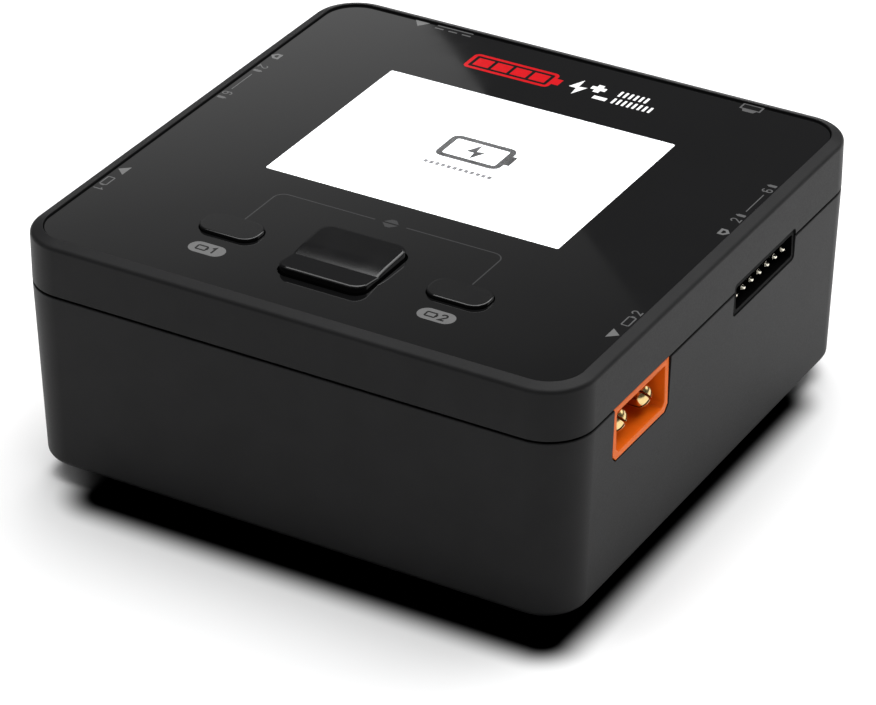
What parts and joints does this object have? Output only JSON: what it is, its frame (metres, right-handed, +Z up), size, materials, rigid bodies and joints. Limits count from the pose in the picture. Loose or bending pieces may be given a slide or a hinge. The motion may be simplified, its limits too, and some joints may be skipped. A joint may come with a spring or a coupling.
{
  "type": "balance battery charger",
  "caption": "Squat square desktop charger: display, two channel keys and a scroll rocker on top, orange power sockets and balance sockets in the sides, power input and exhaust slots behind.",
  "frame": {"origin": "on the table, at the middle of the feet's contact plane, under the middle of the case", "axes": "+X to the right seen from the front, +Y towards the back, +Z up"},
  "size_m": [0.0882, 0.0882, 0.0409],
  "materials": {
    "case_plastic": "fine satin moulded, charcoal black",
    "panel_acrylic": "polished, black print on the back",
    "key_plastic": "polished black with bright edges",
    "display_glass": "lit white display",
    "display_frame": "stamped, satin",
    "flex_circuit": "amber film",
    "pin_steel": "drawn, bright",
    "carrier_plastic": "moulded black",
    "switch_metal": "stamped",
    "circuit_board": "green solder mask",
    "ferrite": "pressed powder",
    "capacitor_sleeve": "shrink sleeve",
    "chip_package": "moulded epoxy",
    "heatsink_aluminium": "extruded",
    "socket_orange": "moulded nylon, orange",
    "gold_contact": "pale gold plated",
    "socket_black": "moulded nylon, black",
    "fan_plastic": "moulded black",
    "cable_jacket": "thin sleeve",
    "foot_rubber": "soft, dull",
    "screw_steel": "black zinc"
  },
  "bodies": {
    "charger": {"bottom_case": "case_plastic", "top_cover": "case_plastic", "front_panel": "panel_acrylic", "lcd_screen": "display_glass", "lcd_frame": "display_frame", "display_ribbon": "flex_circuit", "link_port_shell": "pin_steel", "fan_screw_left": "pin_steel", "fan_screw_right": "pin_steel", "board_link_header": "carrier_plastic", "link_port_tongue": "carrier_plastic", "ch1_switch": "switch_metal", "ch2_switch": "switch_metal", "ok_switch": "switch_metal", "scroll_up_switch": "switch_metal", "scroll_down_switch": "switch_metal", "control_board": "circuit_board", "main_board": "circuit_board", "ch1_inductor": "ferrite", "ch2_inductor": "ferrite", "ch1_capacitor_front": "capacitor_sleeve", "ch1_capacitor_rear": "capacitor_sleeve", "ch2_capacitor_front": "capacitor_sleeve", "ch2_capacitor_rear": "capacitor_sleeve", "ch1_power_transistor": "chip_package", "ch2_power_transistor": "chip_package", "microcontroller": "chip_package", "buzzer": "chip_package", "ch1_heatsink": "heatsink_aluminium", "ch2_heatsink": "heatsink_aluminium", "ch1_output_socket": "socket_orange", "ch2_output_socket": "socket_orange", "dc_input_socket": "socket_orange", "ch1_output_positive_pin": "gold_contact", "ch1_output_negative_pin": "gold_contact", "ch2_output_positive_pin": "gold_contact", "ch2_output_negative_pin": "gold_contact", "dc_input_positive_pin": "gold_contact", "dc_input_negative_pin": "gold_contact", "ch1_balance_pins": "gold_contact", "ch2_balance_pins": "gold_contact", "ch1_balance_socket": "socket_black", "ch2_balance_socket": "socket_black", "fan_frame": "fan_plastic", "fan_cable": "cable_jacket", "foot_front_left": "foot_rubber", "foot_front_right": "foot_rubber", "foot_rear_left": "foot_rubber", "foot_rear_right": "foot_rubber", "case_screw_front_left": "screw_steel", "case_screw_front_right": "screw_steel", "case_screw_rear_left": "screw_steel", "case_screw_rear_right": "screw_steel"},
    "ch1_button": {"ch1_key": "key_plastic"},
    "ch2_button": {"ch2_key": "key_plastic"},
    "ok_slider": {"key_carrier": "carrier_plastic", "rocker_pivot_pin": "pin_steel"},
    "scroll_rocker": {"rocker_key": "key_plastic"},
    "fan_rotor": {"fan_impeller": "fan_plastic"}
  },
  "joints": [
    {"name": "ch1_press", "type": "slide", "parent": "charger", "child": "ch1_button", "axis": [0, 0, -1], "range_m": [0, 0.0004], "stiffness_N_per_m": 150, "springref_m": -0.001},
    {"name": "ch2_press", "type": "slide", "parent": "charger", "child": "ch2_button", "axis": [0, 0, -1], "range_m": [0, 0.0004], "stiffness_N_per_m": 150, "springref_m": -0.001},
    {"name": "ok_press", "type": "slide", "parent": "charger", "child": "ok_slider", "axis": [0, 0, -1], "range_m": [0, 0.0004], "stiffness_N_per_m": 150, "springref_m": -0.001},
    {"name": "scroll_rock", "type": "hinge", "parent": "ok_slider", "child": "scroll_rocker", "pos_m": [0, -0.028, 0.0382], "axis": [1, 0, 0], "range_deg": [-4, 4], "stiffness_Nm_per_rad": 0.003},
    {"name": "fan_spin", "type": "hinge", "parent": "charger", "child": "fan_rotor", "pos_m": [0, 0, 0.01], "axis": [0, 0, 1], "continuous": true}
  ]
}
